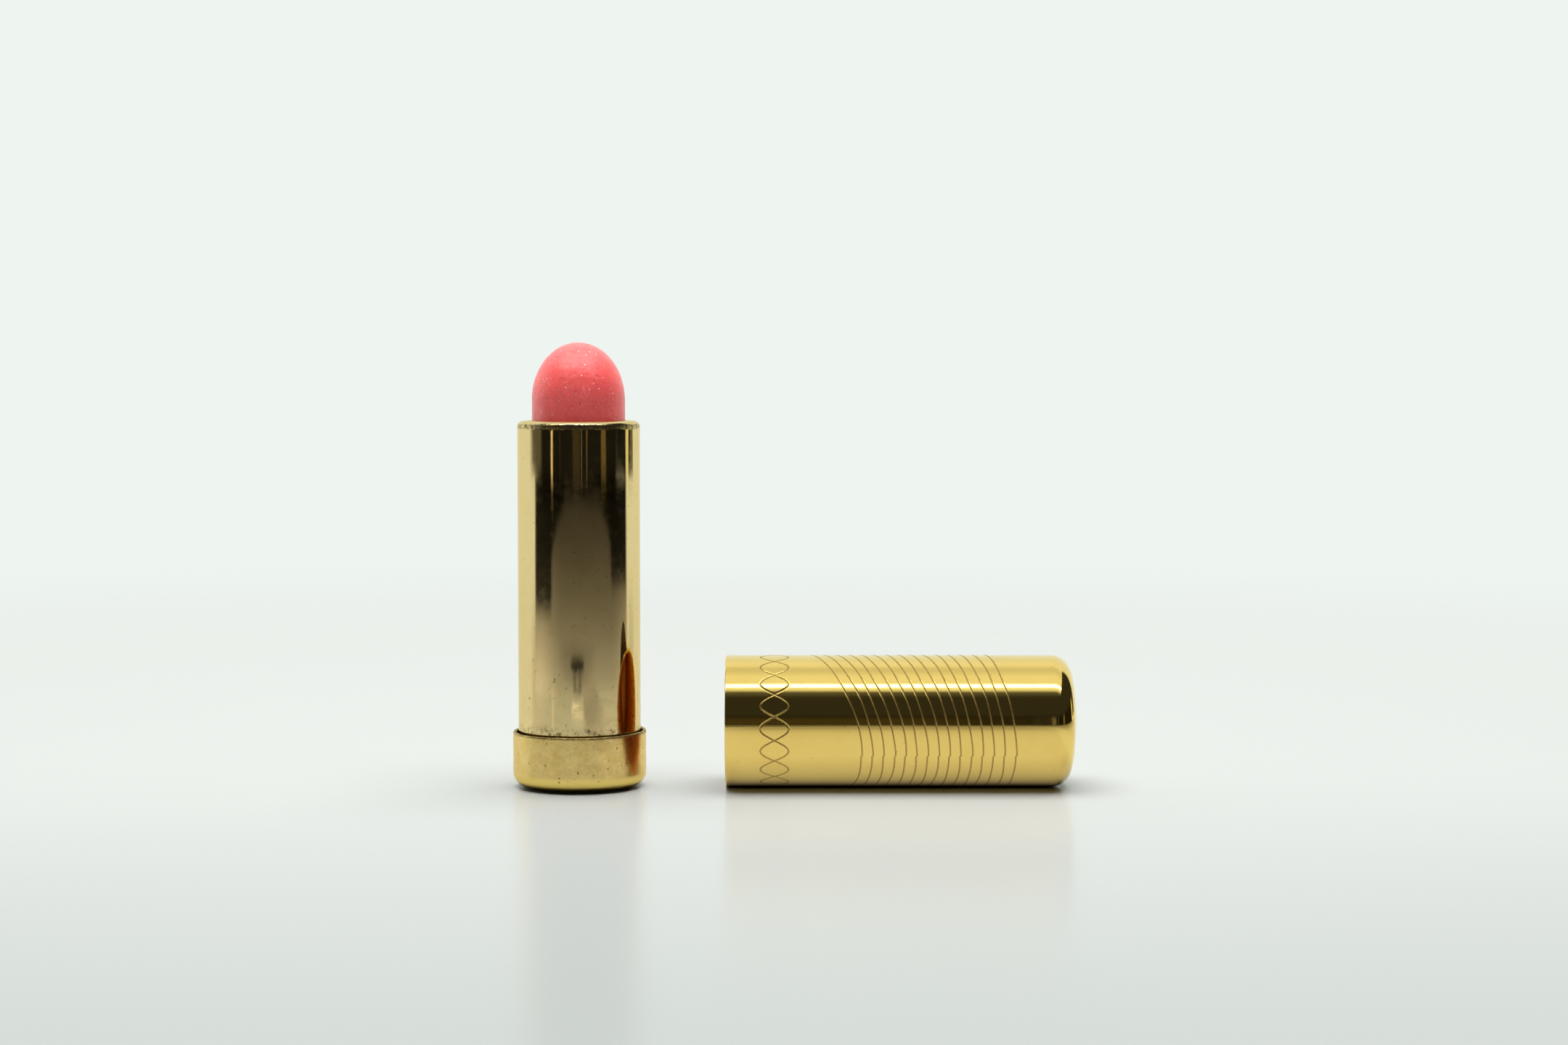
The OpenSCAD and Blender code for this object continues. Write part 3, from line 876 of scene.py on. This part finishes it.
def room_paint(g):
    """Dark, with upright streaks low down and paler parts at its left end and its top."""
    z, heading = g.axis("Z"), g.heading()
    colour = g.mix(g.ramp(z, 200.0, 420.0), rgba(0.012, 0.011, 0.009), rgba(0.031, 0.030, 0.027))
    low = g.ramp(z, 160.0, 360.0, 1.0, 0.0)
    for middle, half, tint in ROOM_STREAKS:
        near = g.ramp(g.apart(heading, middle), 0.45 * half, half, 1.0, 0.0)
        colour = g.mix(g.times(near, low), colour, rgba(*tint))
    colour = g.mix(g.ramp(heading, -74.0, -66.0, 1.0, 0.0), colour, rgba(0.115, 0.11, 0.085))
    colour = g.mix(g.ramp(z, 1200.0, 1820.0), colour, rgba(0.10, 0.10, 0.08))
    ends = g.band(heading, ROOM_FIRST, ROOM_FIRST + 14.0, ROOM_LAST - 8.0, ROOM_LAST)
    return colour, 1.0, g.times(ends, g.ramp(z, 1780.0, ROOM_H, 1.0, 0.0))


def make_room():
    """The dark room in front of the case, on a curved screen that faces it."""
    columns = 115
    points, faces = [], []
    for k in range(columns + 1):
        a = math.radians(ROOM_FIRST + (ROOM_LAST - ROOM_FIRST) * k / columns)
        for z in (0.0, ROOM_H):
            points.append((ROOM_R * math.sin(a), -ROOM_R * math.cos(a), z))
        if k:
            faces.append((2 * k - 2, 2 * k - 1, 2 * k + 1, 2 * k))
    stage_piece("room", points, faces, glow_material("room", room_paint), ("diffuse", "glossy", "shadow"))


def table_falloff(g, distance, heading, aside):
    """The table's brightness: less with distance, more to the sides, with a dark wedge on each side."""
    near = g.math("EXPONENT", g.math("DIVIDE", g.math("SUBTRACT", 97.0, distance), 150.0))
    far = g.ramp(distance, 800.0, 1080.0, 0.066, 0.0)
    glow = g.math("ADD", g.times(near, 0.6), far)
    glow = g.times(glow, g.ramp(g.apart(heading, 20.0), 45.0, 100.0, 0.78, 1.5))
    open_half = g.ramp(distance, 420.0, 1000.0, 57.0, 30.0)
    start = g.math("SUBTRACT", distance, g.times(g.ramp(heading, -20.0, 40.0), 80.0))
    wedge = g.times(g.ramp(g.math("SUBTRACT", aside, open_half), -5.0, 5.0), g.ramp(start, 235.0, 345.0))
    return g.dim(glow, wedge, 0.1)


def table_by_cap(g, x, depth):
    """Where the table lies in front of the cap, and how bright it is there."""
    along = g.band(x, CAP_LOW.x - 6.0, CAP_LOW.x + 3.0, CAP_HIGH.x - 2.0, CAP_HIGH.x + 12.0)
    glow = g.times(g.ramp(depth, 3.0, 12.0, 0.48, 0.76), g.ramp(depth, 12.0, 105.0, 1.0, 0.42))
    return g.times(along, g.ramp(depth, 2.5, 7.0)), glow


def table_paint(g):
    """Dims with distance, and holds a dark spot, a stem with a bright core and a pale patch near the case."""
    x, depth = g.axis("X"), g.math("MULTIPLY", g.axis("Y"), -1.0)
    across, distance, heading = g.math("ABSOLUTE", x), g.distance(), g.heading()
    aside = g.apart(heading, 9.0)
    glow = table_falloff(g, distance, heading, aside)
    wide = g.math("POWER", g.math("DIVIDE", across, SPOT_HALF_W), 2.0)
    deep = g.math("POWER", g.math("DIVIDE", g.math("SUBTRACT", depth, SPOT_DEPTH), SPOT_HALF_D), 2.0)
    reach = g.math("ADD", wide, deep)
    spot = g.ramp(reach, 0.35, 1.4, 1.0, 0.0)
    glow = g.dim(g.times(glow, g.ramp(reach, 1.0, 9.0, 0.72, 1.0)), spot, 0.06)
    narrow = g.ramp(across, 13.0, 24.0, 1.0, 0.0)
    stem, patch = g.times(g.band(depth, *STEM_BAND), narrow), g.times(g.band(depth, *PATCH_BAND), narrow)
    core = g.times(g.band(depth, *CORE_BAND), g.ramp(across, 3.0, 8.0, 1.0, 0.0))
    glow = g.math("ADD", g.dim(glow, stem, 0.42), g.math("ADD", g.times(core, 0.22), g.times(patch, 0.5)))
    by_cap, cap_glow = table_by_cap(g, x, depth)
    glow = g.mix(g.times(by_cap, g.ramp(depth, 70.0, 140.0, 1.0, 0.0)), glow, cap_glow)
    sheet = g.times(g.ramp(aside, 91.0, 98.0, 1.0, 0.0), g.ramp(distance, 100.0, 150.0))
    cover = g.most(sheet, spot, g.times(stem, 0.9), patch, by_cap)
    tint = g.mix(g.ramp(distance, 150.0, 500.0), rgba(1.0, 0.99, 0.95), rgba(1.0, 0.93, 0.80))
    return tint, glow, cover


def make_table_front():
    """The table in front of the case as its reflections see it: bright near by, dim far away."""
    points = card_corners(1150, -1190, 400, TABLE_Z)
    stage_piece("table_front", points, [(0, 1, 2, 3)], glow_material("table_front", table_paint), ("glossy",))


def make_world():
    """An even pale background."""
    world = bpy.data.worlds.new("studio")
    world.use_nodes = True
    back = world.node_tree.nodes["Background"]
    back.inputs["Color"].default_value = PALE
    back.inputs["Strength"].default_value = 1.0
    bpy.context.scene.world = world
    bpy.context.scene.view_settings.view_transform = "Standard"


make_camera()
make_base_cup()
make_barrel()
make_lipstick()
make_cap()
make_liner()
dress_inner_parts()
make_floor()
make_ceiling()
make_overhead_light()
make_mouth_light()
make_room()
make_table_front()
make_world()
